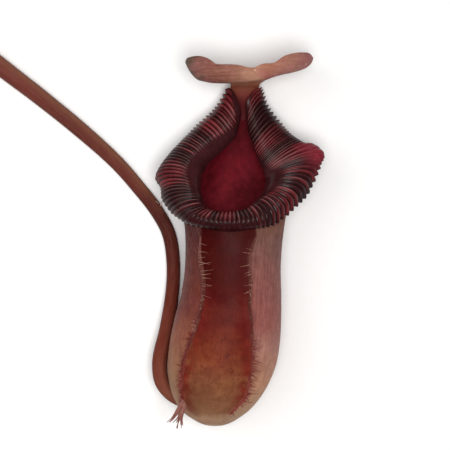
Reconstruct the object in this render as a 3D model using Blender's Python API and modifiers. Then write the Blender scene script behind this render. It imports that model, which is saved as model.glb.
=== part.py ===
# A pitcher of a tropical pitcher plant, picked with its tendril and laid on its back.
# Lengths below are millimetres. X runs across the pitcher, Y from its base to its lid,
# and Z up from the surface that it lies on, so its front faces up.

import math
import random

import bmesh
import bpy
from mathutils import Vector
from mathutils.bvhtree import BVHTree

OBJECT_NAME = "pitcher_plant_pitcher"
MM = 0.001
GAP = 0.3  # clearance between two pieces that grow together

# The cup's cross sections: along Y, centre in X and Z, half width, half depth.
CUP_SECTIONS = (
    (-32.5, -3.6, 20.0, 0.0, 0.0),
    (-31.8, -3.6, 20.0, 4.5, 4.5),
    (-29.8, -3.6, 20.3, 8.6, 8.6),
    (-25.2, -3.4, 21.0, 14.3, 14.4),
    (-18.0, -2.4, 21.6, 18.8, 19.0),
    (-8.4, -0.9, 21.9, 21.6, 22.1),
    (1.2, 0.4, 22.0, 22.0, 22.4),
    (10.8, 1.6, 22.0, 21.3, 21.7),
    (20.4, 2.9, 22.1, 20.0, 20.6),
    (32.4, 3.6, 22.2, 19.1, 19.6),
)
CUP_WALL = 1.2
CUP_COLUMNS = 48
CUP_STEPS = 2  # rings between two sections
THROAT_STEPS = 4  # rings in each half of the throat, from the last section to the rim
THROAT_BULGE = 0.07  # how far the back of the throat is rounded out, as a part of its length
NECK_RIM = (
    (12.2, 98.4, 10.0),
    (13.0, 101.2, 8.0),
    (12.9, 103.3, 6.0),
    (8.4, 104.3, 4.6),
    (3.4, 103.3, 6.0),
    (3.0, 101.2, 8.0),
    (3.9, 98.4, 10.0),
)
NECK_MIDDLE = 3  # the rim's place at the back, where its chain starts

# The ribbed lip round the mouth, from the left of the neck, round the front, to its right:
# rib number, inner edge, crest, outer margin.
LIP_GUIDES = (
    (0, (6.5, 91.9, 10.0), (5.5, 98.9, 12.6), (1.6, 103.7, 8.4)),
    (3, (6.0, 87.4, 11.6), (2.5, 94.3, 15.0), (-1.2, 97.1, 10.0)),
    (6, (4.4, 83.2, 13.6), (0.2, 90.5, 16.9), (-4.3, 92.9, 11.3)),
    (12, (-1.6, 77.0, 17.0), (-7.2, 83.6, 20.6), (-12.1, 85.8, 13.4)),
    (17, (-5.4, 73.3, 19.1), (-11.6, 79.5, 23.1), (-17.4, 80.7, 14.8)),
    (22, (-8.2, 68.8, 21.9), (-15.9, 75.2, 25.5), (-22.6, 74.6, 16.0)),
    (27, (-9.1, 64.3, 24.5), (-18.8, 69.6, 27.8), (-27.1, 66.9, 18.3)),
    (30, (-9.0, 61.5, 26.8), (-17.4, 65.2, 29.6), (-24.9, 62.6, 21.1)),
    (33, (-8.5, 59.1, 28.8), (-16.5, 61.6, 32.2), (-24.1, 58.1, 24.4)),
    (36, (-7.5, 56.9, 30.5), (-14.9, 58.0, 34.8), (-20.9, 53.5, 29.8)),
    (38, (-6.5, 55.5, 33.1), (-13.6, 55.0, 38.5), (-18.2, 51.1, 34.2)),
    (41, (-4.9, 54.3, 35.4), (-10.4, 52.4, 42.6), (-13.2, 48.2, 39.5)),
    (45, (-1.9, 53.3, 37.3), (-3.8, 50.7, 45.3), (-4.8, 46.3, 42.8)),
    (49, (3.1, 53.2, 38.8), (3.2, 50.1, 46.3), (3.1, 45.5, 43.2)),
    (53, (7.6, 54.4, 37.6), (10.1, 51.3, 45.1), (11.2, 46.5, 42.7)),
    (56, (10.0, 55.8, 36.2), (14.9, 54.0, 42.4), (16.1, 47.6, 41.1)),
    (58, (11.6, 57.0, 35.0), (17.9, 56.3, 40.2), (19.5, 49.2, 38.3)),
    (62, (14.5, 60.2, 32.2), (23.6, 61.2, 35.6), (26.5, 55.5, 32.0)),
    (65, (15.8, 62.4, 30.2), (26.7, 65.6, 33.5), (31.2, 60.1, 28.2)),
    (70, (16.4, 65.6, 27.7), (28.6, 72.4, 30.2), (36.9, 71.0, 26.8)),
    (73, (16.3, 66.8, 26.8), (28.8, 74.7, 28.9), (39.5, 75.4, 25.1)),
    (75, (16.1, 68.0, 26.0), (26.5, 76.7, 27.4), (36.4, 79.4, 21.8)),
    (76.5, (15.8, 69.1, 25.2), (24.4, 77.5, 26.7), (32.2, 80.0, 21.2)),
    (85, (12.9, 76.1, 19.7), (19.0, 83.2, 21.8), (24.4, 86.5, 14.7)),
    (91, (10.0, 84.9, 12.7), (13.6, 91.2, 15.8), (17.6, 95.0, 10.4)),
    (95, (9.4, 91.1, 10.0), (11.3, 97.2, 12.8), (15.3, 101.4, 8.7)),
    (97, (9.5, 94.8, 10.0), (10.2, 99.9, 12.6), (14.5, 103.6, 8.4)),
)
LIP_RIBS = 97
FRONT_RIB = 51
FRONT_SPREAD = 9  # ribs on each side where the cup's rim stays low behind the lip
RIM_DROP = 0.9  # how far the cup's rim stays below the lip, as its wall leans in
FRONT_RIM_DROP = 1.7
LIP_WALL = 1.0
LIP_EDGE = 0.9
LIP_OUTER_STEPS = 9
LIP_UNDER_STEPS = 5
RIB_HEIGHT = 0.4
TOOTH_HEIGHT = 0.5  # what a rib gains at both margins

# The two fringed wings down the cup's front, as places in X and Y.
LEFT_WING = ((-9.2, 43.6), (-9.2, 36.4), (-8.0, 29.4), (-7.5, 24.0), (-8.6, 15.9), (-10.4, 8.9),
             (-12.8, 2.6), (-14.7, -3.1), (-15.6, -8.2), (-16.2, -13.6), (-16.0, -18.8), (-14.6, -23.0))
RIGHT_WING = ((12.6, 43.6), (11.0, 40.0), (9.5, 35.5), (9.7, 29.8), (10.1, 22.8), (9.8, 15.9),
              (10.5, 9.8), (10.6, -3.1), (10.5, -7.8), (9.3, -13.5), (7.9, -18.6), (5.2, -22.6), (2.2, -26.4))
WING_HEIGHT = 1.5
WING_THICKNESS = 0.8
WING_ROOT = 0.7  # depth of a wing's root in the wall
BRISTLE = (0.8, 2.4)  # shortest and longest
TUFT_BRISTLE = 4.6  # at the left wing's lower end
WING_TEETH = 34

# The tendril from its cut end to the cup's base: place, radius.
TENDRIL = (
    ((-110.5, 127.5), 3.9, 3.9),
    ((-92.0, 113.2), 3.7, 3.7),
    ((-74.0, 99.3), 3.4, 3.4),
    ((-58.0, 86.2), 3.2, 3.2),
    ((-44.4, 73.9), 3.0, 3.0),
    ((-35.6, 64.0), 2.9, 2.9),
    ((-27.8, 54.0), 2.8, 2.8),
    ((-22.6, 44.2), 2.8, 2.8),
    ((-20.8, 32.0), 3.0, 2.8),
    ((-21.3, 19.7), 4.6, 2.8),
    ((-23.5, 5.2), 8.2, 3.0),
    ((-25.7, -4.4), 11.2, 3.1),
    ((-26.1, -10.0), 12.8, 3.1),
    ((-25.1, -15.5), 14.0, 3.0),
    ((-21.9, -19.8), 15.2, 2.8),
    ((-17.7, -22.6), 16.2, 2.5),
    ((-12.5, -24.0), 17.4, 2.3),
)
TENDRIL_STEPS = 4

# The lid, a blade that stands behind the mouth and rolls back at its top: place in X, then Y where
# the roll starts and where it ends.
LID_MARGINS = (
    (-15.0, 113.0, 113.0),
    (-14.2, 110.9, 113.7),
    (-12.7, 108.3, 113.9),
    (-10.5, 106.0, 114.0),
    (-7.8, 105.1, 113.5),
    (-5.3, 104.5, 112.2),
    (-3.1, 104.2, 110.6),
    (1.6, 104.0, 110.3),
    (5.5, 104.0, 110.0),
    (8.6, 104.1, 109.2),
    (11.3, 104.4, 108.9),
    (15.2, 104.9, 110.4),
    (19.7, 106.5, 111.0),
    (23.3, 107.6, 113.5),
    (27.1, 108.5, 114.8),
    (31.0, 109.8, 115.4),
    (33.1, 111.1, 115.4),
    (34.5, 112.8, 114.6),
    (35.1, 114.3, 114.3),
)
LID_MIDDLE = 20.5  # height of its middle line
LID_RISE = 19.5
LID_DROP = 22.4  # further than down to the surface, so the foot rests on it on both sides of the stem
LID_NOTCH = (8.6, 6.0, 5.4)  # in the foot, above the spur: place in X, half width, height
LID_SQUARENESS = 3.0
LID_WALL = 1.0
LID_COLUMNS = 40
LID_UPRIGHT_ROWS = 6
LID_ROLL_ROWS = 6
LID_LEAN = 0.13  # how far its foot stands behind the roll's start, as a part of the height between
LID_ROLL_TURN = math.radians(110)
LID_ROLL_REACH = 2.5  # where the roll reaches less far than this it turns less far round

# The stem that runs out of the neck's groove to the lid: Y, centre in X and Z, half width, half depth.
STEM_SECTIONS = (
    (99.6, 8.3, 7.7, 2.0, 0.5),
    (101.6, 8.3, 8.0, 2.9, 1.0),
    (104.2, 8.3, 8.2, 3.5, 1.4),
    (104.9, 8.4, 7.6, 5.0, 2.4),
    (105.4, 8.6, 7.9, 5.9, 3.0),
    (106.2, 8.9, 8.2, 6.6, 3.8),
    (107.0, 9.2, 8.6, 7.6, 4.8),
    (107.6, 9.4, 9.0, 9.0, 6.0),
)
STEM_SIDES = 24

SPUR = (((8.6, 99.0, 4.6), 1.1), ((8.7, 102.0, 3.0), 0.9), ((8.9, 105.0, 1.9), 0.7), ((9.3, 107.5, 1.3), 0.45))


def clear_scene():
    for obj in list(bpy.data.objects):
        bpy.data.objects.remove(obj, do_unlink=True)


def new_collection(name):
    collection = bpy.data.collections.new(name)
    bpy.context.scene.collection.children.link(collection)
    return collection


def material(name, colour, roughness):
    made = bpy.data.materials.new(name)
    made.use_nodes = True
    shader = made.node_tree.nodes["Principled BSDF"]
    shader.inputs["Base Color"].default_value = (*colour, 1.0)
    shader.inputs["Roughness"].default_value = roughness
    return made


def curve_through(keys, points, at):
    """A point on the smooth curve that passes through each point at its key."""
    last = len(keys) - 1
    k = 0
    while k < last - 1 and at > keys[k + 1]:
        k += 1

    def slope(i):
        low, high = max(i - 1, 0), min(i + 1, last)
        return (points[high] - points[low]) / (keys[high] - keys[low])

    width = keys[k + 1] - keys[k]
    s = (at - keys[k]) / width
    return (
        points[k] * (2 * s**3 - 3 * s**2 + 1)
        + slope(k) * (width * (s**3 - 2 * s**2 + s))
        + points[k + 1] * (3 * s**2 - 2 * s**3)
        + slope(k + 1) * (width * (s**3 - s**2))
    )


def distances(points):
    """How far along the chain of points each one lies."""
    keys = [0.0]
    for a, b in zip(points, points[1:]):
        keys.append(keys[-1] + (b - a).length)
    return keys


def mesh_object(name, bm, collection, finish=None):
    mesh = bpy.data.meshes.new(name)
    for vertex in bm.verts:
        vertex.co *= MM
    bm.to_mesh(mesh)
    bm.free()
    obj = bpy.data.objects.new(name, mesh)
    collection.objects.link(obj)
    if finish is not None:
        mesh.materials.append(finish)
    return obj


def face_outwards(bm):
    bmesh.ops.recalc_face_normals(bm, faces=bm.faces)
    if bm.calc_volume(signed=True) < 0:
        bmesh.ops.reverse_faces(bm, faces=bm.faces)


def loft(bm, loops, capped):
    """Joins closed loops of points one after another, and closes both ends if asked."""
    rings = [[bm.verts.new(point) for point in loop] for loop in loops]
    count = len(rings[0])
    for ring, following in zip(rings, rings[1:]):
        for j in range(count):
            after = (j + 1) % count
            bm.faces.new((ring[j], ring[after], following[after], following[j]))
    if capped:
        bm.faces.new(rings[0])
        bm.faces.new(reversed(rings[-1]))
    face_outwards(bm)


def apply_modifiers(obj):
    depsgraph = bpy.context.evaluated_depsgraph_get()
    mesh = bpy.data.meshes.new_from_object(obj.evaluated_get(depsgraph))
    obj.modifiers.clear()
    obj.data = mesh


def boolean(obj, operation, other):
    modifier = obj.modifiers.new(operation.lower(), "BOOLEAN")
    modifier.operation = operation
    modifier.solver = "EXACT"
    modifier.object = other
    apply_modifiers(obj)


def smooth(obj, degrees=40):
    obj.data.shade_smooth()
    obj.data.set_sharp_from_angle(angle=math.radians(degrees))


def lip_frame(rib):
    """The middle of the lip's arch at a rib, its half reach outwards and its rise."""
    keys = [row[0] for row in LIP_GUIDES]
    inner, crest, outer = (
        curve_through(keys, [Vector(row[side]) for row in LIP_GUIDES], rib) for side in (1, 2, 3)
    )
    middle = (inner + outer) / 2
    return middle, (outer - inner) / 2, crest - middle


def lip_point(rib, turn, wall=0.0, relief=0.0):
    """A point of the arch: turn 0 is its inner edge, 0.5 its crest and 1 its outer margin."""
    middle, reach, rise = lip_frame(rib)
    angle = math.pi * turn
    outward = -reach * math.cos(angle) / reach.length_squared + rise * math.sin(angle) / rise.length_squared
    if wall:
        reach = reach * (1 - LIP_EDGE / reach.length)
        rise = rise * (1 - wall / rise.length)
    return middle - reach * math.cos(angle) + rise * math.sin(angle) + outward.normalized() * relief


def rib_relief(turn):
    return RIB_HEIGHT + TOOTH_HEIGHT * math.cos(math.pi * turn) ** 6


def make_lip(collection):
    loops = []
    for column in range(2 * LIP_RIBS + 1):
        rib = column / 2
        ridge = column % 2
        outer = [k / LIP_OUTER_STEPS for k in range(LIP_OUTER_STEPS + 1)]
        under = [1 - k / LIP_UNDER_STEPS for k in range(LIP_UNDER_STEPS + 1)]
        loops.append(
            [lip_point(rib, turn, relief=ridge * rib_relief(turn)) for turn in outer]
            + [lip_point(rib, turn, wall=LIP_WALL) for turn in under]
        )
    bm = bmesh.new()
    loft(bm, loops, capped=True)
    bmesh.ops.triangulate(bm, faces=bm.faces)
    obj = mesh_object("peristome", bm, collection, material("lip_dark_red", (0.09, 0.012, 0.016), 0.25))
    smooth(obj, 60)
    return obj


def rim_loop(offset):
    """The cup's rim as a closed chain under the lip's crest, starting at the neck's middle."""
    points = [Vector(point) for point in NECK_RIM[NECK_MIDDLE:]]
    for rib in range(2, LIP_RIBS - 1):
        middle, reach, rise = lip_frame(rib)
        front = math.exp(-(((rib - FRONT_RIB) / FRONT_SPREAD) ** 2))
        depth = LIP_WALL + GAP + RIM_DROP + FRONT_RIM_DROP * front
        up = rise * (1 - depth / rise.length)
        points.append(middle + up + reach.normalized() * (CUP_WALL / 2 + offset))
    points += [Vector(point) for point in NECK_RIM[:NECK_MIDDLE + 1]]
    return points


def cup_meridian(fraction, rim, offset):
    """The places of one column of the cup, from its base to its rim."""
    angle = 2 * math.pi * fraction
    across, depth = -math.sin(angle), -math.cos(angle)
    points = []
    for along, x, z, width, thick in CUP_SECTIONS:
        grow = offset if width else 0.0
        points.append(
            Vector((x + (width + grow) * across, along - (0 if width else offset), z + (thick + grow) * depth))
        )
    rim_keys = distances(rim)
    top = curve_through(rim_keys, rim, fraction * rim_keys[-1])
    throat = (points[-1] + top) / 2
    if depth < 0:
        bulge = THROAT_BULGE * (top - points[-1]).length * abs(math.sin(2 * angle))
        throat += Vector((math.copysign(bulge, across), 0, -bulge / 2))
    points += [throat, top]
    keys = distances(points)
    places = []
    for k in range(len(keys) - 1):
        steps = CUP_STEPS if k < len(keys) - 3 else THROAT_STEPS
        for step in range(steps):
            at = keys[k] + (keys[k + 1] - keys[k]) * step / steps
            places.append(curve_through(keys, points, at))
    places.append(points[-1])
    return places


def cup_surface(offset=0.0):
    """The cup's outer surface, open at the rim, with a flat spot on its back where it rests."""
    rim = rim_loop(offset)
    bm = bmesh.new()
    pole = bm.verts.new(cup_meridian(0, rim, offset)[0])
    columns = []
    for j in range(CUP_COLUMNS):
        places = cup_meridian(j / CUP_COLUMNS, rim, offset)[1:]
        columns.append([bm.verts.new((p.x, p.y, max(p.z, -offset))) for p in places])
    for j, column in enumerate(columns):
        following = columns[(j + 1) % CUP_COLUMNS]
        bm.faces.new((pole, following[0], column[0]))
        for k in range(len(column) - 1):
            bm.faces.new((column[k], following[k], following[k + 1], column[k + 1]))
    face_outwards(bm)
    return bm


def wing(name, route, tree, collection, lean, tuft):
    """A thin toothed fin that stands on the cup along its route, with its root in the wall."""
    rng = random.Random(len(route))
    path = [Vector((x, y, 0)) for x, y in route]
    keys = distances(path)
    samples = 2 * WING_TEETH
    feet = []
    for k in range(samples + 1):
        place = curve_through(keys, path, keys[-1] * k / samples)
        foot, normal, _, _ = tree.ray_cast(Vector((place.x, place.y, 80)), Vector((0, 0, -1)))
        feet.append((foot, normal))
    loops = []
    for k, (foot, normal) in enumerate(feet):
        before, after = feet[max(k - 1, 0)][0], feet[min(k + 1, samples)][0]
        side = normal.cross(after - before).normalized()
        lower = k / samples
        up = (normal + side * lean * (1 - 1.6 * lower)).normalized()
        bristle = rng.uniform(*BRISTLE) + tuft * max(0, lower - 0.86) / 0.14
        taper = min(1, 6 * lower + 0.25, 8 * (1 - lower) + 0.35)
        height = WING_HEIGHT * taper + (bristle if k % 2 else 0.0)
        half = side * WING_THICKNESS / 2
        loops.append((foot - normal * WING_ROOT - half, foot - normal * WING_ROOT + half,
                      foot + up * height + half * 0.8, foot + up * height - half * 0.8))
    bm = bmesh.new()
    loft(bm, loops, capped=True)
    bmesh.ops.triangulate(bm, faces=bm.faces)
    return mesh_object(name, bm, collection)


def tapered_tube(name, places, collection, bevel_resolution=2):
    """A closed round tube along a chain of places, each with its own radius."""
    curve = bpy.data.curves.new(name, "CURVE")
    curve.dimensions = "3D"
    curve.bevel_depth = MM
    curve.bevel_resolution = bevel_resolution
    curve.use_fill_caps = True
    spline = curve.splines.new("POLY")
    spline.points.add(len(places) - 1)
    for point, (place, radius) in zip(spline.points, places):
        point.co = (*(place * MM), 1)
        point.radius = radius
    guide = bpy.data.objects.new(name + "_guide", curve)
    collection.objects.link(guide)
    depsgraph = bpy.context.evaluated_depsgraph_get()
    mesh = bpy.data.meshes.new_from_object(guide.evaluated_get(depsgraph))
    bm = bmesh.new()
    bm.from_mesh(mesh)
    bmesh.ops.remove_doubles(bm, verts=bm.verts, dist=1e-6)
    bmesh.ops.recalc_face_normals(bm, faces=bm.faces)
    bm.to_mesh(mesh)
    bm.free()
    bpy.data.objects.remove(guide, do_unlink=True)
    obj = bpy.data.objects.new(name, mesh)
    collection.objects.link(obj)
    return obj


def make_cup(collection, cutters):
    obj = mesh_object("pitcher_cup", cup_surface(), collection, material("cup_skin", (0.2, 0.075, 0.045), 0.4))
    bm = bmesh.new()
    bm.from_mesh(obj.data)
    bmesh.ops.triangulate(bm, faces=bm.faces)
    bm.to_mesh(obj.data)
    bmesh.ops.scale(bm, vec=(1 / MM,) * 3, verts=bm.verts)
    tree = BVHTree.FromBMesh(bm)
    bm.free()
    solidify = obj.modifiers.new("wall", "SOLIDIFY")
    solidify.thickness = CUP_WALL * MM
    solidify.offset = -1
    apply_modifiers(obj)
    joined = [
        wing("left_wing", LEFT_WING, tree, cutters, -0.5, TUFT_BRISTLE),
        wing("right_wing", RIGHT_WING, tree, cutters, 0.5, 0.0),
        tapered_tube("spur", [(Vector(place), radius) for place, radius in SPUR], cutters, 1),
    ]
    for piece in joined:
        boolean(obj, "UNION", piece)
        bpy.data.objects.remove(piece, do_unlink=True)
    smooth(obj)
    return obj


def make_tendril(collection, cutters):
    places = [Vector((*place, height)) for place, height, _ in TENDRIL]
    radii = [Vector((radius, 0)) for _, _, radius in TENDRIL]
    keys = distances(places)
    count = TENDRIL_STEPS * (len(keys) - 1)
    chain = []
    for k in range(count + 1):
        at = keys[-1] * k / count
        chain.append((curve_through(keys, places, at), curve_through(keys, radii, at).x))
    obj = tapered_tube("tendril", chain, collection)
    obj.data.materials.append(material("tendril_bark", (0.16, 0.05, 0.03), 0.45))
    bm = cup_surface(GAP)
    rim = [edge for edge in bm.edges if edge.is_boundary]
    bmesh.ops.holes_fill(bm, edges=rim)
    bmesh.ops.triangulate(bm, faces=bm.faces)
    face_outwards(bm)
    seat = mesh_object("tendril_seat_cutter", bm, cutters)
    seat.hide_render = True
    seat.display_type = "WIRE"
    boolean(obj, "DIFFERENCE", seat)
    smooth(obj)
    return obj


def lid_heights(x):
    """The heights of the lid's foot and its top at a place across it."""
    low, high = LID_MARGINS[0][0], LID_MARGINS[-1][0]
    across = abs((2 * x - low - high) / (high - low))
    part = max(0, 1 - across**LID_SQUARENESS) ** (1 / LID_SQUARENESS)
    place, width, height = LID_NOTCH
    notch = height * math.exp(-(((x - place) / width) ** 2))
    return max(LID_MIDDLE - (LID_DROP - notch) * part, 0), LID_MIDDLE + LID_RISE * part


def lid_column(x, near, far):
    """The lid's middle line at a place across it: upright from its foot, then rolled back."""
    low, high = lid_heights(x)
    reach = far - near
    turn = LID_ROLL_TURN * min(1, reach / LID_ROLL_REACH)
    radius = reach / (1 - math.cos(turn))
    start = high - radius * math.sin(min(turn, math.pi / 2))
    points = []
    for row in range(LID_UPRIGHT_ROWS):
        below = 1 - row / LID_UPRIGHT_ROWS
        points.append((x, near + LID_LEAN * (start - low) * below**1.4, start - (start - low) * below))
    for row in range(LID_ROLL_ROWS + 1):
        angle = turn * row / LID_ROLL_ROWS
        points.append((x, near + radius * (1 - math.cos(angle)), start + radius * math.sin(angle)))
    return points


def make_lid(collection):
    keys = [x for x, _, _ in LID_MARGINS]
    margins = [Vector((near, far)) for _, near, far in LID_MARGINS]
    bm = bmesh.new()
    columns = []
    for column in range(LID_COLUMNS + 1):
        x = (keys[0] + keys[-1]) / 2 - (keys[-1] - keys[0]) / 2 * math.cos(math.pi * column / LID_COLUMNS)
        near, far = curve_through(keys, margins, x)
        if column in (0, LID_COLUMNS):
            points = [(x, near, LID_MIDDLE)]
        else:
            points = lid_column(x, near, far)
        columns.append([bm.verts.new(point) for point in points])
    for column, following in zip(columns, columns[1:]):
        for row in range(LID_UPRIGHT_ROWS + LID_ROLL_ROWS):
            corners = [column[min(row, len(column) - 1)], following[min(row, len(following) - 1)],
                       following[min(row + 1, len(following) - 1)], column[min(row + 1, len(column) - 1)]]
            bm.faces.new(list(dict.fromkeys(corners)))
    bmesh.ops.triangulate(bm, faces=bm.faces)
    bmesh.ops.recalc_face_normals(bm, faces=bm.faces)
    obj = mesh_object("lid", bm, collection, material("lid_skin", (0.33, 0.17, 0.13), 0.45))
    solidify = obj.modifiers.new("thickness", "SOLIDIFY")
    solidify.thickness = LID_WALL * MM
    solidify.offset = 0
    apply_modifiers(obj)
    stem = make_stem(collection)
    boolean(obj, "UNION", stem)
    bpy.data.objects.remove(stem, do_unlink=True)
    smooth(obj, 50)
    return obj


def make_stem(collection):
    loops = []
    for along, x, z, width, depth in STEM_SECTIONS:
        angles = [2 * math.pi * side / STEM_SIDES for side in range(STEM_SIDES)]
        loops.append(
            [Vector((x + width * math.cos(angle), along, z + depth * math.sin(angle))) for angle in angles]
        )
    bm = bmesh.new()
    loft(bm, loops, capped=True)
    return mesh_object("stem", bm, collection)


def settle(objects):
    """Presses the lowest points flat on the surface and puts the footprint's middle at the origin."""
    corners = [vertex.co for obj in objects for vertex in obj.data.vertices]
    shift = Vector((0, 0, 0))
    for axis in (0, 1):
        reach = [corner[axis] for corner in corners]
        shift[axis] = -(min(reach) + max(reach)) / 2
    for obj in objects:
        for vertex in obj.data.vertices:
            vertex.co.z = max(vertex.co.z, 0)
            vertex.co += shift


def main():
    clear_scene()
    parts = new_collection(OBJECT_NAME)
    cutters = new_collection("cutters")
    objects = [
        make_cup(parts, cutters),
        make_lip(parts),
        make_lid(parts),
        make_tendril(parts, cutters),
    ]
    settle(objects)


main()
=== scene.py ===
import math
import random

import bmesh
import bpy
import numpy as np
from mathutils import Matrix, Vector
from mathutils.bvhtree import BVHTree


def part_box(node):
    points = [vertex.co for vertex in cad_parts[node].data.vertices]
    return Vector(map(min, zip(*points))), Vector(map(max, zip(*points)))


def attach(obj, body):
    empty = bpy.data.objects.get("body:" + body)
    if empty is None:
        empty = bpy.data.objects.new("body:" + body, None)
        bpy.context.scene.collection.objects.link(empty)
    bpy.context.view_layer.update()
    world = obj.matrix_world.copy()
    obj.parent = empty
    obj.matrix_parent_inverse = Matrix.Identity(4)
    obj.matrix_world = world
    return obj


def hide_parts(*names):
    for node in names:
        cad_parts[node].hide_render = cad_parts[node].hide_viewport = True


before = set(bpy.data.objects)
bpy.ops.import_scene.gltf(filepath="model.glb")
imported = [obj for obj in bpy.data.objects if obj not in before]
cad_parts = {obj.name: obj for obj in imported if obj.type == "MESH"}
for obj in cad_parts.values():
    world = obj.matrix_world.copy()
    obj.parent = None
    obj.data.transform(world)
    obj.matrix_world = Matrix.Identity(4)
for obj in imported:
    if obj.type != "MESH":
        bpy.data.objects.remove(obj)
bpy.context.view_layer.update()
print("frame loaded:", ", ".join(sorted(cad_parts)))

# Lengths in the dictionaries are millimetres from the growth origin: X across the pitcher,
# Y from its base to its lid, Z up from the table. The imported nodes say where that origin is.
mm = 0.001
weldGap = 0.01
lipRight = 40.2627  # the lip's furthest reach to the right
cupBase = -32.5
origin = np.array([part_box("peristome")[1].x / mm - lipRight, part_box("pitcher_cup")[0].y / mm - cupBase, 0.0])


def deselectAll():
    if bpy.context.object is not None and bpy.context.object.mode != "OBJECT":
        bpy.ops.object.mode_set(mode="OBJECT")
    bpy.ops.object.select_all(action="DESELECT")


def choose(piece):
    deselectAll()
    piece.select_set(True)
    bpy.context.view_layer.objects.active = piece


def curveThrough(keys, points, at):
    keys, points, at = np.asarray(keys, float), np.asarray(points, float), np.asarray(at, float)
    last = len(keys) - 1
    index = np.arange(last + 1)
    low, high = np.maximum(index - 1, 0), np.minimum(index + 1, last)
    slope = (points[high] - points[low]) / (keys[high] - keys[low])[:, None]
    k = np.clip(np.searchsorted(keys, at) - 1, 0, last - 1)
    width = (keys[k + 1] - keys[k])[..., None]
    s = (at - keys[k])[..., None] / width
    return (points[k] * (2 * s**3 - 3 * s**2 + 1) + slope[k] * width * (s**3 - 2 * s**2 + s)
            + points[k + 1] * (3 * s**2 - 2 * s**3) + slope[k + 1] * width * (s**3 - s**2))


def tableAt(table, at):
    return np.interp(at, [row[0] for row in table], [row[1] for row in table])


def step(low, high, value):
    s = np.clip((value - low) / (high - low), 0, 1)
    return s * s * (3 - 2 * s)


def length(vectors):
    return np.linalg.norm(vectors, axis=-1)


def unit(vectors):
    return vectors / np.maximum(length(vectors), 1e-9)[..., None]


def chainKeys(points):
    return np.concatenate([[0.0], np.cumsum(length(np.diff(points, axis=0)))])


def waves(x, y, seed, count=7):
    # soft unevenness between -1 and 1, always the same for one seed
    rng = np.random.default_rng(seed)
    total = np.zeros(np.broadcast(x, y).shape)
    for k in range(count):
        turn, pace, start = rng.uniform(0, 2 * math.pi), rng.uniform(0.6, 2.2), rng.uniform(0, 6)
        total += np.sin(pace * (x * math.cos(turn) + y * math.sin(turn)) + start)
    return total / count


def cornersOf(piece):
    corners = np.empty(len(piece.data.vertices) * 3)
    piece.data.vertices.foreach_get("co", corners)
    return corners.reshape(-1, 3)


def gridPiece(name, columns, rows, shape):
    # a flat grid whose corners are taken to shape(across, along), both from 0 to 1
    deselectAll()
    bpy.ops.mesh.primitive_grid_add(x_subdivisions=columns, y_subdivisions=rows, size=1)
    piece = bpy.context.object
    piece.name = piece.data.name = name
    flat = cornersOf(piece)[:, :2] + 0.5
    across = np.round(flat[:, 0] * columns) / columns
    along = np.round(flat[:, 1] * rows) / rows
    placePoints(piece, shape(across, along))
    return piece, across, along


def placePoints(piece, places):
    piece.data.vertices.foreach_set("co", ((places + origin) * mm).ravel())
    piece.data.update()


def setUv(piece, u, v):
    loops = np.empty(len(piece.data.loops), np.int32)
    piece.data.loops.foreach_get("vertex_index", loops)
    pairs = np.stack([u[loops], v[loops]], axis=1).astype(np.float32)
    piece.data.uv_layers.active.data.foreach_set("uv", pairs.ravel())


def setMask(piece, name, values):
    mask = piece.data.attributes.new(name, "FLOAT", "POINT")
    mask.data.foreach_set("value", np.asarray(values, np.float32))


def weld(piece):
    choose(piece)
    bpy.ops.object.mode_set(mode="EDIT")
    bpy.ops.mesh.select_all(action="SELECT")
    bpy.ops.mesh.remove_doubles(threshold=weldGap * mm)
    bpy.ops.mesh.normals_make_consistent(inside=False)
    bpy.ops.object.mode_set(mode="OBJECT")


def addObject(name, data):
    made = bpy.data.objects.new(name, data)
    bpy.context.scene.collection.objects.link(made)
    return made


def closeHoles(piece):
    # fills each open end with a face of its own
    bm = bmesh.new()
    bm.from_mesh(piece.data)
    bmesh.ops.holes_fill(bm, edges=[edge for edge in bm.edges if edge.is_boundary])
    bmesh.ops.recalc_face_normals(bm, faces=bm.faces)
    bm.to_mesh(piece.data)
    bm.free()


def facesOut(piece):
    # turns an open shell's faces away from its middle
    bm = bmesh.new()
    bm.from_mesh(piece.data)
    if bm.calc_volume(signed=True) < 0:
        bmesh.ops.reverse_faces(bm, faces=bm.faces)
        bm.to_mesh(piece.data)
    bm.free()


def applyModifier(piece, kind, **values):
    choose(piece)
    modifier = piece.modifiers.new(kind.lower(), kind)
    for name, value in values.items():
        setattr(modifier, name, value)
    bpy.ops.object.modifier_apply(modifier=modifier.name)


def smooth(piece):
    choose(piece)
    bpy.ops.object.shade_smooth()


def finishPiece(piece, node, materials):
    for material in materials:
        if material.name not in piece.data.materials:
            piece.data.materials.append(material)
    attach(piece, "root")
    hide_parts(node)
    print("made", piece.name, len(piece.data.polygons), "faces")


# Colours are written as screen values and turned into linear light here.
def tone(text):
    channels = [int(text[k:k + 2], 16) / 255 for k in (0, 2, 4)]
    return (*[c / 12.92 if c <= 0.04045 else ((c + 0.055) / 1.055) ** 2.4 for c in channels], 1.0)


def feed(tree, socket, value):
    # links an output to the socket, or sets the value that the socket has on its own
    if isinstance(value, bpy.types.NodeSocket):
        tree.links.new(value, socket)
    else:
        socket.default_value = tone(value) if isinstance(value, str) else value


def put(tree, kind, inputs=None, **settings):
    node = tree.nodes.new("ShaderNode" + kind)
    for name, value in settings.items():
        setattr(node, name, value)
    for name, value in (inputs or {}).items():
        feed(tree, node.inputs[name], value)
    return node


def ramp(tree, factor, stops, smoothly=False):
    node = put(tree, "ValToRGB", {"Fac": factor})
    node.color_ramp.interpolation = "EASE" if smoothly else "LINEAR"
    while len(node.color_ramp.elements) < len(stops):
        node.color_ramp.elements.new(0.5)
    for element, (place, colour) in zip(node.color_ramp.elements, stops):
        element.position = place
        element.color = tone(colour) if isinstance(colour, str) else (colour, colour, colour, 1)
    return node.outputs["Color"]


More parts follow.
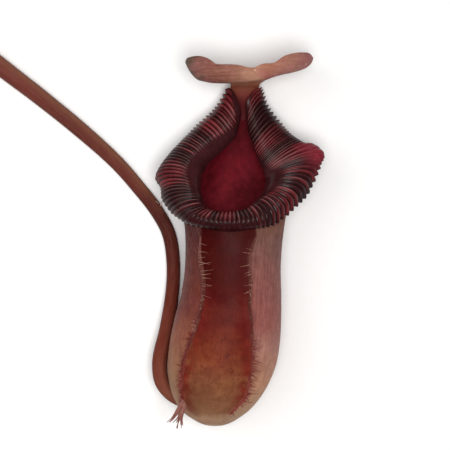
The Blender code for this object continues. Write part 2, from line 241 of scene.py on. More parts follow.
def mix(tree, amount, first, second, blend="MIX"):
    node = put(tree, "Mix", data_type="RGBA", blend_type=blend)
    for name, value in (("Factor_Float", amount), ("A_Color", first), ("B_Color", second)):
        feed(tree, next(s for s in node.inputs if s.identifier == name), value)
    return next(s for s in node.outputs if s.identifier == "Result_Color")


def tint(tree, skin, mask, share, colour, blend="MIX"):
    return mix(tree, maths(tree, "MULTIPLY", mask, share), skin, colour, blend)


def maths(tree, operation, first, second=0.5, third=0.0, clamp=False):
    return put(tree, "Math", {0: first, 1: second, 2: third}, operation=operation, use_clamp=clamp).outputs[0]


def times(tree, first, second):
    return maths(tree, "MULTIPLY", first, second)


def stray(tree, value, mask, reach):
    # the value moved up and down by a mask, by half the reach at most
    return maths(tree, "MULTIPLY_ADD", maths(tree, "SUBTRACT", mask, 0.5), reach, value)


def between(tree, value, low, high, kind="SMOOTHSTEP"):
    # a step from 0 at low to 1 at high, a soft one unless the kind says otherwise
    return put(tree, "MapRange", {"Value": value, "From Min": low, "From Max": high},
               interpolation_type=kind).outputs["Result"]


def parted(tree, vector):
    return put(tree, "SeparateXYZ", {"Vector": vector}).outputs


def noise(tree, place, scale, detail=3.0, roughness=0.55, distortion=0.0, stretch=None):
    if stretch is not None:
        place = put(tree, "Mapping", {"Vector": place, "Scale": stretch}).outputs[0]
    return put(tree, "TexNoise", {"Vector": place, "Scale": scale, "Detail": detail, "Roughness": roughness,
                                  "Distortion": distortion}).outputs["Fac"]


def newGroup(name, inputs, outputs):
    # Place is a vector, and every other socket holds a number
    tree = bpy.data.node_groups.new(name, "ShaderNodeTree")
    for way, titles in (("INPUT", inputs), ("OUTPUT", outputs)):
        for title in titles:
            kind = "NodeSocketVector" if title == "Place" else "NodeSocketFloat"
            tree.interface.new_socket(title, in_out=way, socket_type=kind)
    return tree, tree.nodes.new("NodeGroupInput").outputs, tree.nodes.new("NodeGroupOutput").inputs


def useGroup(tree, group, **inputs):
    node = put(tree, "Group", node_tree=group)
    for name, value in inputs.items():
        feed(tree, node.inputs[name.capitalize()], value)
    return node.outputs


def mottleGroup():
    # blotches of two sizes on fresh plant skin, as a mask from 0 to 1
    tree, given, result = newGroup("skinMottle", ("Place", "Size", "Contrast"), ("Mask",))
    coarse = noise(tree, given["Place"], given["Size"], 2.0)
    fine = noise(tree, given["Place"], times(tree, given["Size"], 4.3), 4.0, 0.65)
    both = maths(tree, "MULTIPLY_ADD", coarse, 0.62, times(tree, fine, 0.38))
    both = maths(tree, "SUBTRACT", both, 0.5)
    tree.links.new(maths(tree, "MULTIPLY_ADD", both, given["Contrast"], 0.5, clamp=True), result["Mask"])
    return tree


def veinGroup():
    # thin lines that run lengthwise and wander a little
    inputs = ("Place", "Across", "Along", "Width")
    tree, given, result = newGroup("lengthwiseVeins", inputs, ("Lines", "Streaks"))
    scale = put(tree, "CombineXYZ", {"X": given["Across"], "Y": given["Along"], "Z": 1.0}).outputs[0]
    stretched = put(tree, "VectorMath", {0: given["Place"], 1: scale}, operation="MULTIPLY").outputs[0]
    field = noise(tree, stretched, 1.0, 2.0, 0.5, 0.4)
    off = maths(tree, "ABSOLUTE", maths(tree, "SUBTRACT", field, 0.5))
    tree.links.new(between(tree, off, given["Width"], 0.0, "LINEAR"), result["Lines"])
    tree.links.new(noise(tree, stretched, 2.3, 4.0, 0.7, 0.2), result["Streaks"])
    return tree


def speckGroup():
    # scattered round specks, each of its own size
    tree, given, result = newGroup("skinSpecks", ("Place", "Scale", "Size"), ("Specks",))
    cells = put(tree, "TexVoronoi", {"Vector": given["Place"], "Scale": given["Scale"], "Randomness": 1.0})
    own = put(tree, "SeparateColor", {"Color": cells.outputs["Color"]}).outputs[0]
    reach = times(tree, given["Size"], maths(tree, "POWER", own, 2.0))
    inner, outer = times(tree, reach, 0.5), maths(tree, "ADD", reach, 0.02)
    tree.links.new(between(tree, cells.outputs["Distance"], outer, inner, "LINEAR"), result["Specks"])
    return tree


mottle, veins, specks = mottleGroup(), veinGroup(), speckGroup()


def blotches(tree, place, size, contrast):
    return useGroup(tree, mottle, place=place, size=size, contrast=contrast)["Mask"]


grooveEnds = (94, 108)


def neckTone(tree, place, blotch):
    # the groove behind the mouth turns from crimson to brown on its way up to the lid, with painted shade as a
    # slightly darker band just below the lid
    low, high = ((height + origin[1]) * mm for height in grooveEnds)
    height = stray(tree, between(tree, parted(tree, place)["Y"], low, high, "LINEAR"), blotch, 0.08)
    return ramp(tree, height, [(0.0, "4c0c12"), (0.2, "501418"), (0.36, "5e2220"), (0.52, "6e3026"),
                               (0.66, "763c2e"), (0.74, "6a3626"), (0.82, "8a5640"), (1.0, "a8745c")])


def newMaterial(name):
    made = bpy.data.materials.new(name)
    made.use_nodes = True
    tree = made.node_tree
    place = put(tree, "TexCoord").outputs["Object"]
    uv = put(tree, "UVMap", uv_map="UVMap").outputs["UV"]
    return made, tree, place, uv


def newSkin(name, size, contrast):
    # a plant skin: as above, with soft blotches of one size and contrast
    made, tree, place, uv = newMaterial(name)
    return made, tree, place, uv, blotches(tree, place, size, contrast)


def finishMaterial(made, colour, roughness, specular, height=None, distance=0.0):
    tree = made.node_tree
    sockets = tree.nodes["Principled BSDF"].inputs
    values = {"Base Color": colour, "Roughness": roughness, "Specular IOR Level": specular}
    if height is not None:
        values["Normal"] = put(tree, "Bump", {"Height": height, "Distance": distance * mm}).outputs["Normal"]
    for title, value in values.items():
        feed(tree, sockets[title], value)
    return made


# The lip: guides give rib number, inner edge, crest and outer margin.
lip = {
    "guides": (
        (0, (6.5, 91.9, 10.0), (5.5, 98.9, 12.6), (1.6, 103.7, 8.4)),
        (3, (6.0, 87.4, 11.6), (2.5, 94.3, 15.0), (-1.2, 97.1, 10.0)),
        (6, (4.4, 83.2, 13.6), (0.2, 90.5, 16.9), (-4.3, 92.9, 11.3)),
        (12, (-1.6, 77.0, 17.0), (-7.2, 83.6, 20.6), (-12.1, 85.8, 13.4)),
        (17, (-5.4, 73.3, 19.1), (-11.6, 79.5, 23.1), (-17.4, 80.7, 14.8)),
        (22, (-8.2, 68.8, 21.9), (-15.9, 75.2, 25.5), (-22.6, 74.6, 16.0)),
        (27, (-9.1, 64.3, 24.5), (-18.8, 69.6, 27.8), (-27.1, 66.9, 18.3)),
        (30, (-9.0, 61.5, 26.8), (-17.4, 65.2, 29.6), (-24.9, 62.6, 21.1)),
        (33, (-8.5, 59.1, 28.8), (-16.5, 61.6, 32.2), (-24.1, 58.1, 24.4)),
        (36, (-7.5, 56.9, 30.5), (-14.9, 58.0, 34.8), (-20.9, 53.5, 29.8)),
        (38, (-6.5, 55.5, 33.1), (-13.6, 55.0, 38.5), (-18.2, 51.1, 34.2)),
        (41, (-4.9, 54.3, 35.4), (-10.4, 52.4, 42.6), (-13.2, 48.2, 39.5)),
        (45, (-1.9, 53.3, 37.3), (-3.8, 50.7, 45.3), (-4.8, 46.3, 42.8)),
        (49, (3.1, 53.2, 38.8), (3.2, 50.1, 46.3), (3.1, 45.5, 43.2)),
        (53, (7.6, 54.4, 37.6), (10.1, 51.3, 45.1), (11.2, 46.5, 42.7)),
        (56, (10.0, 55.8, 36.2), (14.9, 54.0, 42.4), (16.1, 47.6, 41.1)),
        (58, (11.6, 57.0, 35.0), (17.9, 56.3, 40.2), (19.5, 49.2, 38.3)),
        (62, (14.5, 60.2, 32.2), (23.6, 61.2, 35.6), (26.5, 55.5, 32.0)),
        (65, (15.8, 62.4, 30.2), (26.7, 65.6, 33.5), (31.2, 60.1, 28.2)),
        (70, (16.4, 65.6, 27.7), (28.6, 72.4, 30.2), (36.9, 71.0, 26.8)),
        (73, (16.3, 66.8, 26.8), (28.8, 74.7, 28.9), (39.5, 75.4, 25.1)),
        (75, (16.1, 68.0, 26.0), (26.5, 76.7, 27.4), (36.4, 79.4, 21.8)),
        (76.5, (15.8, 69.1, 25.2), (24.4, 77.5, 26.7), (32.2, 80.0, 21.2)),
        (85, (12.9, 76.1, 19.7), (19.0, 83.2, 21.8), (24.4, 86.5, 14.7)),
        (91, (10.0, 84.9, 12.7), (13.6, 91.2, 15.8), (17.6, 95.0, 10.4)),
        (95, (9.4, 91.1, 10.0), (11.3, 97.2, 12.8), (15.3, 101.4, 8.7)),
        (97, (9.5, 94.8, 10.0), (10.2, 99.9, 12.6), (14.5, 103.6, 8.4)),
    ),
    "ribs": 97,
    "columnsPerRib": 10,
    "outerRows": 46,
    "underRows": 10,
    "wall": 1.0,
    "edge": 0.9,
    "outerShare": 0.8,  # share of its cross section that lies on the ribbed face
    "unevenWidth": 0.13,  # how far a groove strays, as a part of a rib
    "unevenHeight": (0.85, 1.1),
    "swell": 0.1,
    "endRibs": 0.7,  # the wall thins to nothing over this many ribs at the lip's two ends
    "hook": (0.9, 0.35),  # how far a tooth points outwards, and how far down
    "ribHeight": ((0, 0.35), (9, 0.45), (22, 0.5), (34, 0.55), (40, 0.6), (48, 0.6), (56, 0.7), (60, 0.8),
                  (67, 0.75), (71, 0.55), (76, 0.4), (80, 0.35), (86, 0.35), (97, 0.3)),
    "ribsStart": ((0, 0.8), (1.5, 0.5), (3, 0.22), (6, 0.27), (12, 0.36), (22, 0.37), (32, 0.33), (38, 0.22),
                  (50, 0.16), (56, 0.2), (62, 0.3), (68, 0.32), (74, 0.2), (79, 0.1), (87, 0.06), (94, 0.16),
                  (95.5, 0.4), (97, 0.7)),
    # where the front ribs flatten out towards the margin; the material darkens the same stretch as painted
    # shadow
    "ribFadeAndFrontShadow": ((0, 0), (34, 0), (41, 0.9), (53, 0.9), (57, 0.2), (60, 0), (97, 0)),
    "darkOuter": ((0, 0), (79, 0), (83, 0.6), (90, 0.6), (95, 0.2), (97, 0)),
    "toothReach": ((0, 0.8), (2, 1.4), (10, 1.5), (14, 0.7), (19, 0.2), (24, 0.1), (32, 0.12), (36, 0.3),
                   (41, 0.3), (46, 0.1), (54, 0.1), (57, 0.7), (61, 1.3), (69, 1.4), (71, 0.5), (73, 0.0),
                   (77, 0.0), (82, 0.2), (85, 0.8), (88, 1.5), (96, 1.5), (97, 0.8)),
}


def lipFrame(rib):
    keys = [row[0] for row in lip["guides"]]
    sides = ([row[side] for row in lip["guides"]] for side in (1, 2, 3))
    inner, crest, outer = (curveThrough(keys, side, rib) for side in sides)
    middle = (inner + outer) / 2
    return middle, (outer - inner) / 2, crest - middle


def lipShape(across, along):
    ribs, outerShare = lip["ribs"], lip["outerShare"]
    rng = np.random.default_rng(8)
    grooves = np.arange(ribs + 1) + rng.uniform(-1, 1, ribs + 1) * lip["unevenWidth"]
    grooves[0], grooves[-1] = 0, ribs
    tall = rng.uniform(*lip["unevenHeight"], ribs + 1)
    count = across * ribs
    index = np.minimum(np.floor(count + 1e-6), ribs - 1).astype(int)
    phase = np.clip(count - index, 0, 1)
    rib = grooves[index] + (grooves[index + 1] - grooves[index]) * phase
    under = along > outerShare
    turn = np.where(under, 1 - (along - outerShare) / (1 - outerShare), along / outerShare)
    middle, reach, rise = lipFrame(rib)
    flatReach = unit(reach)
    cosine, sine = np.cos(math.pi * turn)[:, None], np.sin(math.pi * turn)[:, None]
    outward = unit(-reach * cosine / length(reach)[:, None] ** 2 + rise * sine / length(rise)[:, None] ** 2)
    fromEnd = np.minimum(np.minimum(rib, ribs - rib) / lip["endRibs"], 1)
    body = np.sqrt(1 - (1 - fromEnd) ** 2)
    shrunkReach = reach * (1 - body * lip["edge"] / length(reach))[:, None]
    shrunkRise = rise * (1 - body * lip["wall"] / length(rise))[:, None]
    reach = np.where(under[:, None], shrunkReach, reach)
    rise = np.where(under[:, None], shrunkRise, rise)
    places = middle - reach * cosine + rise * sine
    ridge = np.sqrt(np.clip(1 - (2 * phase - 1) ** 2, 0, 1))
    start = tableAt(lip["ribsStart"], rib)
    height = tableAt(lip["ribHeight"], rib) * tall[index] * step(start - 0.04, start + 0.1, turn)
    height *= 1 - tableAt(lip["ribFadeAndFrontShadow"], rib) * step(0.5, 0.72, turn)
    swell = lip["swell"] * waves(rib * 0.4, turn * 6, 3)
    places += outward * (np.where(under, 0, height * ridge) + swell)[:, None]
    tooth = tableAt(lip["toothReach"], rib) * (0.6 + 0.5 * tall[(index * 7) % ribs])
    tooth = tooth * (1 - np.abs(2 * phase - 1)) ** 1.2 * step(0.8, 1.0, turn)
    out, down = lip["hook"]
    return places + unit(flatReach * out - unit(rise) * down) * tooth[:, None]


def makeLip(material):
    columns = lip["ribs"] * lip["columnsPerRib"]
    rows = lip["outerRows"] + lip["underRows"]
    split, share = lip["outerRows"] / rows, lip["outerShare"]

    def shape(across, along):
        # more rows go to the ribbed face than to the underside
        below = share + (along - split) / (1 - split) * (1 - share)
        return lipShape(across, np.where(along <= split, along / split * share, below))

    piece, across, along = gridPiece("ribbed_lip", columns, rows, shape)
    setUv(piece, across, np.where(along <= split, along / split, 1 - (along - split) / (1 - split)))
    weld(piece)
    smooth(piece)
    finishPiece(piece, "peristome", [material])


def ribRamp(tree, across, name):
    # one of the lip's tables, by rib number, as a ramp from one end of the lip to the other
    return ramp(tree, across, [(rib / lip["ribs"], value) for rib, value in lip[name]])


def lipMaterial():
    made, tree, place, uv, blotch = newSkin("lip_glossy_ribs", 160.0, 2.5)
    parts = parted(tree, uv)
    count = times(tree, parts["X"], float(lip["ribs"]))
    phase = maths(tree, "FRACT", count)
    ridge = maths(tree, "SINE", times(tree, phase, math.pi))
    rib = maths(tree, "FLOOR", count)
    own = put(tree, "TexWhiteNoise", {"W": rib}, noise_dimensions="1D").outputs["Value"]
    groups = put(tree, "TexNoise", {"W": times(tree, count, 0.16), "Scale": 1.0, "Detail": 1.0},
                 noise_dimensions="1D").outputs["Fac"]
    field = maths(tree, "MULTIPLY_ADD", own, 0.14, maths(tree, "MULTIPLY_ADD", blotch, 0.1, groups))
    red = between(tree, field, 0.54, 0.76)
    skin = mix(tree, red, mix(tree, blotch, "240e10", "381517"), mix(tree, blotch, "52161a", "742529"))
    # painted shade: the grooves between the ribs are darkened
    skin = mix(tree, between(tree, ridge, 0.65, 0.15), skin, "120607")
    # painted highlight: a pale glint colour on each rib's crest, strongest near the top of the roll
    paintedGlint = ramp(tree, parts["Y"], [(0.1, 0.2), (0.32, 1.0), (0.5, 0.8), (0.7, 0.0)])
    paintedGlint = maths(tree, "MULTIPLY_ADD", paintedGlint, 0.4, 0.1)
    paintedGlint = times(tree, paintedGlint, maths(tree, "MULTIPLY_ADD", own, 1.1, 0.1))
    skin = tint(tree, skin, between(tree, ridge, 0.94, 1.0), paintedGlint, "b48884")
    band = ribRamp(tree, parts["X"], "ribsStart")
    inner = maths(tree, "SUBTRACT", parts["Y"], maths(tree, "MULTIPLY_ADD", blotch, 0.05, band))
    skin = mix(tree, between(tree, inner, 0.05, -0.05), skin, mix(tree, blotch, "2c1114", "421c1e"))
    flap = times(tree, ramp(tree, parts["X"], [(0.69, 0.0), (0.74, 1.0), (0.775, 1.0), (0.8, 0.0)], True),
                 ramp(tree, parts["Y"], [(0.45, 0.0), (0.8, 1.0)], True))
    skin = tint(tree, skin, flap, 0.85, mix(tree, blotch, "6c1824", "943440"))
    margin = times(tree, between(tree, parts["Y"], 0.88, 1.0), maths(tree, "SUBTRACT", 1.0, flap))
    skin = tint(tree, skin, margin, 0.8, "120b0c")
    # painted shadow: the outer half of the front ribs, where the lip rolls under, is darkened
    fade = ribRamp(tree, parts["X"], "ribFadeAndFrontShadow")
    front = mix(tree, blotch, "200a0c", "321012")
    skin = tint(tree, skin, fade, between(tree, parts["Y"], 0.38, 0.62), front)
    dark = ribRamp(tree, parts["X"], "darkOuter")
    skin = tint(tree, skin, dark, between(tree, parts["Y"], 0.3, 0.65), "1e0c0e")
    rough = maths(tree, "MULTIPLY_ADD", blotch, 0.12, 0.2)
    return finishMaterial(made, skin, rough, 0.11, noise(tree, place, 900.0, 3.0), 0.05)


# The cup: sections give the place along Y, the centre in X and Z, half width and half depth.
cup = {
    "sections": (
        (-32.5, -3.6, 20.0, 0.0, 0.0),
        (-31.8, -3.6, 20.0, 4.5, 4.5),
        (-29.8, -3.6, 20.3, 8.6, 8.6),
        (-25.2, -3.4, 21.0, 14.3, 14.4),
        (-18.0, -2.4, 21.6, 18.8, 19.0),
        (-8.4, -0.9, 21.9, 21.6, 22.1),
        (1.2, 0.4, 22.0, 22.0, 22.4),
        (10.8, 1.6, 22.0, 21.3, 21.7),
        (20.4, 2.9, 22.1, 20.0, 20.6),
        (32.4, 3.6, 22.2, 19.1, 19.6),
    ),
    "wall": 1.2,
    "columns": 240,
    "rows": 150,
    "neckRim": ((12.2, 98.4, 10.0), (13.0, 101.2, 8.0), (12.9, 103.3, 6.0), (8.4, 104.3, 4.6),
                (3.4, 103.3, 6.0), (3.0, 101.2, 8.0), (3.9, 98.4, 10.0)),
    "rimDrop": 0.9,
    "frontRimDrop": 1.7,
    "frontRib": 51,
    "frontSpread": 9,
    "throatBulge": 0.07,
    "throatEven": 16,  # columns to each side that smooth the throat
    "top": 104.3,
    "axisHeight": 22.0,
    "uneven": 0.16,
    "unevenEnds": ((0.03, 0.2), (1.0, 0.9)),  # shares of its length over which the unevenness fades
    "leftWing": ((-9.2, 43.6), (-9.2, 36.4), (-8.0, 29.4), (-7.5, 24.0), (-8.6, 15.9), (-10.4, 8.9),
                 (-12.8, 2.6), (-14.7, -3.1), (-15.6, -8.2), (-16.2, -13.6), (-16.0, -18.8), (-14.6, -23.0)),
    "rightWing": ((12.6, 43.6), (11.0, 40.0), (9.5, 35.5), (9.7, 29.8), (10.1, 22.8), (9.8, 15.9),
                  (10.5, 9.8), (10.6, -3.1), (10.5, -7.8), (9.3, -13.5), (7.9, -18.6), (5.2, -22.6),
                  (2.2, -26.4)),
    "foldHeight": 0.45,
    "foldWidth": 1.3,
    "panelEdge": 1.6,  # half the width over which the front panel's colour fades at the wings
    "panelFoot": (-34.0, -19.0),
    "seamPlace": 1.2,
    "seamWidth": 2.8,
}


def cupRim():
    ribs = np.arange(2, lip["ribs"] - 1)
    middle, reach, rise = lipFrame(ribs)
    front = np.exp(-(((ribs - cup["frontRib"]) / cup["frontSpread"]) ** 2))
    depth = lip["wall"] + 0.3 + cup["rimDrop"] + cup["frontRimDrop"] * front
    rim = middle + rise * (1 - depth / length(rise))[:, None] + unit(reach) * cup["wall"] / 2
    neck = np.array(cup["neckRim"])
    back = len(neck) // 2
    return np.concatenate([neck[back:], rim, neck[:back + 1]])


farOutside = -40


def wingDistance(places):
    # how far inside the two wings a point on the front lies, below 0 outside them
    left, right = (np.array(cup[name])[::-1] for name in ("leftWing", "rightWing"))
    inside = np.minimum(places[:, 0] - np.interp(places[:, 1], left[:, 1], left[:, 0]),
                        np.interp(places[:, 1], right[:, 1], right[:, 0]) - places[:, 0])
    return np.where(places[:, 2] > cup["axisHeight"], inside, farOutside)


def cupShape(across, along):
    rim = cupRim()
    rimKeys = chainKeys(rim)
    columns, reach = cup["columns"], cup["throatEven"]
    loop = curveThrough(rimKeys, rim, np.arange(columns) / columns * rimKeys[-1])
    even = sum(np.roll(loop, shift, axis=0) for shift in range(-reach, reach + 1)) / (2 * reach + 1)
    places = np.empty((len(across), 3))
    for fraction in np.unique(across):
        own = across == fraction
        angle = 2 * math.pi * fraction
        side, depth = -math.sin(angle), -math.cos(angle)
        points = [(x + width * side, y, z + thick * depth) for y, x, z, width, thick in cup["sections"]]
        points = np.array(points)
        top = curveThrough(rimKeys, rim, fraction * rimKeys[-1])
        throat = (points[-1] + even[int(round(fraction * columns)) % columns]) / 2
        if depth < 0:
            bulge = cup["throatBulge"] * length(top - points[-1]) * abs(math.sin(2 * angle))
            throat += (math.copysign(bulge, side), 0, -bulge / 2)
        points = np.concatenate([points, [throat, top]])
        keys = chainKeys(points)
        places[own] = curveThrough(keys, points, along[own] * keys[-1])
    # gentle unevenness, and a low fold under each wing
    middle = np.stack([np.interp(places[:, 1], *np.array(cup["sections"]).T[[0, 1]]),
                       places[:, 1], np.full(len(places), cup["axisHeight"])], axis=1)
    outward = unit(places - middle)
    foot, mouth = cup["unevenEnds"]
    fade = step(*foot, along) * step(*mouth, along)
    angle = across * 2 * math.pi
    uneven = cup["uneven"] * waves(3.2 * np.cos(angle) + places[:, 1] * 0.06, 3.2 * np.sin(angle), 11, 9)
    fold = cup["foldHeight"] * np.exp(-((wingDistance(places) / cup["foldWidth"]) ** 2))
    places += outward * ((uneven + fold) * fade)[:, None]
    places[:, 2] = np.maximum(places[:, 2], 0)
    return places


def makeCup():
    piece, across, along = gridPiece("cup_body", cup["columns"], cup["rows"], cupShape)
    places = cornersOf(piece) / mm - origin
    setUv(piece, across, (places[:, 1] - cupBase) / (cup["top"] - cupBase))
    inside = wingDistance(places)
    edge = cup["panelEdge"]
    setMask(piece, "panel", step(-edge, edge, inside) * step(*cup["panelFoot"], places[:, 1]))
    setMask(piece, "seam", np.exp(-((inside - cup["seamPlace"]) / cup["seamWidth"]) ** 2))
    weld(piece)
    facesOut(piece)
    return piece


def finishCup(piece, materials):
    for material in materials:
        piece.data.materials.append(material)
    applyModifier(piece, "SOLIDIFY", thickness=cup["wall"] * mm, offset=-1,
                  material_offset=1, material_offset_rim=1)
    smooth(piece)
    finishPiece(piece, "pitcher_cup", materials)


def cupMaterial():
    made, tree, place, uv, blotch = newSkin("cup_skin", 110.0, 2.4)
    parts = parted(tree, uv)
    height = stray(tree, parts["Y"], noise(tree, place, 70.0, 2.0), 0.09)
    # the front's darkest top, just under the lip, is partly its own deep red and partly painted shadow of the
    # lip
    front = ramp(tree, height, [(0.0, "8b6347"), (0.09, "86583c"), (0.15, "90593b"), (0.22, "79331c"),
                                (0.3, "5c0e08"), (0.37, "530806"), (0.44, "450606"), (0.55, "3e0303"),
                                (0.62, "2e0303")])
    # the flanks' own tones, with painted light: the right flank is painted lighter and the left flank darker, as
    # the light falls on them
    right = ramp(tree, height, [(0.0, "ad8e6e"), (0.14, "c48f70"), (0.24, "bb8677"), (0.32, "a5645b"),
                                (0.42, "9d6359"), (0.54, "805e53"), (0.62, "78513c")])
    left = ramp(tree, height, [(0.0, "ac8462"), (0.14, "a37958"), (0.26, "9d5f45"), (0.36, "76362b"),
                               (0.46, "682d1c"), (0.56, "49180a"), (0.62, "340f04")])
    side = ramp(tree, parts["X"], [(0.0, 0.5), (0.09, 0.0), (0.4, 0.0), (0.6, 1.0), (0.91, 1.0), (1.0, 0.5)])
    flankWithPaintedShade = mix(tree, side, left, right)
    patches = blotches(tree, place, 48.0, 3.6)
    line = useGroup(tree, veins, place=uv, across=60.0, along=5.0, width=0.1)
    fibre = noise(tree, uv, 1.0, 4.0, 0.7, 0.3, (240.0, 34.0, 1.0))
    purple = times(tree, between(tree, line["Streaks"], 0.34, 0.78),
                   ramp(tree, height, [(0.05, 0.0), (0.22, 0.4), (0.34, 0.7), (0.6, 0.8)]))
    flankWithPaintedShade = mix(tree, purple, flankWithPaintedShade, "6c3a46")
    flankWithPaintedShade = tint(tree, flankWithPaintedShade, between(tree, fibre, 0.5, 0.62), 0.12, "b98e78")
    worn = ramp(tree, height, [(0.0, 0.15), (0.1, 0.5), (0.2, 0.8), (0.36, 0.9), (0.41, 0.3), (0.62, 0.3)])
    lit = mix(tree, 0.16, front, "b0705a", "SCREEN")
    front = tint(tree, front, between(tree, patches, 0.35, 0.75), times(tree, worn, 0.45), lit)
    front = tint(tree, front, between(tree, patches, 0.55, 0.2), times(tree, worn, 0.5), "5a1a1a")
    dots = useGroup(tree, specks, place=place, scale=760.0, size=0.46)["Specks"]
    front = tint(tree, front, dots, times(tree, worn, 0.7), "5a1a16")
    front = tint(tree, front, between(tree, fibre, 0.5, 0.66), times(tree, worn, 0.5), "541a18")
    panel = put(tree, "Attribute", attribute_name="panel").outputs["Fac"]
    skin = mix(tree, between(tree, stray(tree, panel, blotch, 0.5), 0.2, 0.8), flankWithPaintedShade, front)
    seam = put(tree, "Attribute", attribute_name="seam").outputs["Fac"]
    crimson = times(tree, seam, ramp(tree, height, [(0.05, 0.4), (0.12, 1.0), (0.3, 0.8), (0.42, 0.0)]))
    crimson = times(tree, crimson, between(tree, blotch, 0.05, 0.75))
    skin = mix(tree, crimson, skin, mix(tree, patches, "5c1614", "80281f"))
    skin = tint(tree, skin, maths(tree, "SUBTRACT", 1.0, blotch), 0.22, "3a1c18", "MULTIPLY")
    grain = blotches(tree, place, 300.0, 4.0)
    skin = tint(tree, skin, grain, 0.3, "9a6c60", "MULTIPLY")
    rough = maths(tree, "MULTIPLY_ADD", blotch, 0.15, 0.42)
    relief = maths(tree, "MULTIPLY_ADD", fibre, 0.6, noise(tree, place, 1400.0, 4.0))
    return finishMaterial(made, skin, rough, 0.05, relief, 0.07)


def throatMaterial():
    made, tree, place, uv, blotch = newSkin("throat_wax", 95.0, 3.2)
    parts = parted(tree, uv)
    line = useGroup(tree, veins, place=uv, across=60.0, along=8.0, width=0.14)
    deep = mix(tree, blotch, ramp(tree, parts["Y"], [(0.62, "581219"), (0.74, "460c13"), (0.86, "3a090f")]),
               ramp(tree, parts["Y"], [(0.62, "8e2832"), (0.74, "781a25"), (0.86, "64131c")]))
    deep = tint(tree, deep, line["Streaks"], 0.3, "4a0a12")
    skin = mix(tree, ramp(tree, parts["Y"], [(0.91, 0.0), (0.94, 1.0)]), deep, neckTone(tree, place, blotch))
    return finishMaterial(made, skin, 0.6, 0.02, noise(tree, place, 500.0, 4.0), 0.08)


# The lid: place in X, then Y where its roll starts and where it ends.
lid = {
    "margins": (
        (-15.0, 113.0, 113.0), (-14.2, 110.9, 113.7), (-12.7, 108.3, 113.9), (-10.5, 106.0, 114.0),
        (-7.8, 105.1, 113.5), (-5.3, 104.5, 112.2), (-3.1, 104.2, 110.6), (1.6, 104.0, 110.3),
        (5.5, 104.0, 110.0), (8.6, 104.1, 109.2), (11.3, 104.4, 108.9), (15.2, 104.9, 110.4),
        (19.7, 106.5, 111.0), (23.3, 107.6, 113.5), (27.1, 108.5, 114.8), (31.0, 109.8, 115.4),
        (33.1, 111.1, 115.4), (34.5, 112.8, 114.6), (35.1, 114.3, 114.3),
    ),
    "middle": 20.5,
    "front": 19.5,
    "rear": 22.4,
    "notch": (8.6, 6.0, 5.4),  # place in X, half width, height
    "squareness": 3.0,
    "lean": 0.13,  # how far its foot stands behind the roll's start, as a part of the height between
    "leanCurve": 1.4,
    "swell": 0.12,
    "rollRows": 0.5,
    "rollTurn": math.radians(110),
    "rollReach": 2.5,
    "columns": 220,
    "rows": 90,
    "wall": 1.0,
    "patternStart": -20,
    "patternSize": (60, 45),
    "stemSides": 64,
    "stemRings": 60,
    "stem": ((88.0, 8.2, 4.9, 1.4, 0.6), (92.0, 8.1, 5.3, 2.4, 1.0), (96.0, 8.1, 6.0, 3.6, 1.6),
             (100.0, 8.1, 7.0, 5.2, 2.2), (103.6, 8.3, 7.7, 5.8, 2.6), (105.2, 8.5, 7.9, 5.9, 3.0),
             (106.2, 8.9, 8.2, 6.6, 3.8), (107.0, 9.2, 8.6, 7.6, 4.8), (107.6, 9.4, 9.0, 9.0, 6.0)),
}


def lidShape(across, along):
    rows = np.array(lid["margins"])
    low, high = rows[0, 0], rows[-1, 0]
    x = (low + high) / 2 - (high - low) / 2 * np.cos(math.pi * across)
    power = lid["squareness"]
    part = np.maximum(0, 1 - np.abs((2 * x - low - high) / (high - low)) ** power) ** (1 / power)
    place, width, height = lid["notch"]
    notch = height * np.exp(-(((x - place) / width) ** 2))
    rear = np.maximum(lid["middle"] - (lid["rear"] - notch) * part, 0)
    front = lid["middle"] + lid["front"] * part
    margins = curveThrough(rows[:, 0], rows[:, 1:], x)
    reach = np.maximum(margins[:, 1] - margins[:, 0], 0.01)
    turn = lid["rollTurn"] * np.minimum(1, reach / lid["rollReach"])
    radius = reach / (1 - np.cos(turn)) * (part > 0)
    start = front - radius * np.sin(np.minimum(turn, math.pi / 2))
    below = np.maximum(1 - along / (1 - lid["rollRows"]), 0)
    angle = np.maximum(along - 1 + lid["rollRows"], 0) / lid["rollRows"] * turn
    z = start - (start - rear) * below + radius * np.sin(angle)
    y = margins[:, 0] + lid["lean"] * (start - rear) * below ** lid["leanCurve"]
    y += radius * (1 - np.cos(angle))
    y += lid["swell"] * waves(x * 0.3, z * 0.3, 21) * part
    return np.stack([x, y, z], axis=1)


def stemShape(across, along):
    rows = np.array(lid["stem"])
    places = curveThrough(np.linspace(0, 1, len(rows)), rows, along)
    angle = -across * 2 * math.pi
    wide = places[:, 3] * (1 + 0.02 * np.cos(7 * angle))
    x = places[:, 1] + wide * np.cos(angle)
    z = places[:, 2] + places[:, 4] * np.sin(angle)
    return np.stack([x, places[:, 0], z], axis=1)


def makeLid(material):
    piece, across, along = gridPiece("lid_blade", lid["columns"], lid["rows"], lidShape)
    places = cornersOf(piece) / mm - origin
    width, height = lid["patternSize"]
    setUv(piece, (places[:, 0] - lid["patternStart"]) / width, places[:, 2] / height)
    weld(piece)
    applyModifier(piece, "SOLIDIFY", thickness=lid["wall"] * mm, offset=0)
    smooth(piece)
    finishPiece(piece, "lid", [material])


def makeStem(material):
    piece, across, along = gridPiece("lid_stem", lid["stemSides"], lid["stemRings"], stemShape)
    setUv(piece, across, along)
    weld(piece)
    closeHoles(piece)
    smooth(piece)
    finishPiece(piece, "lid", [material])


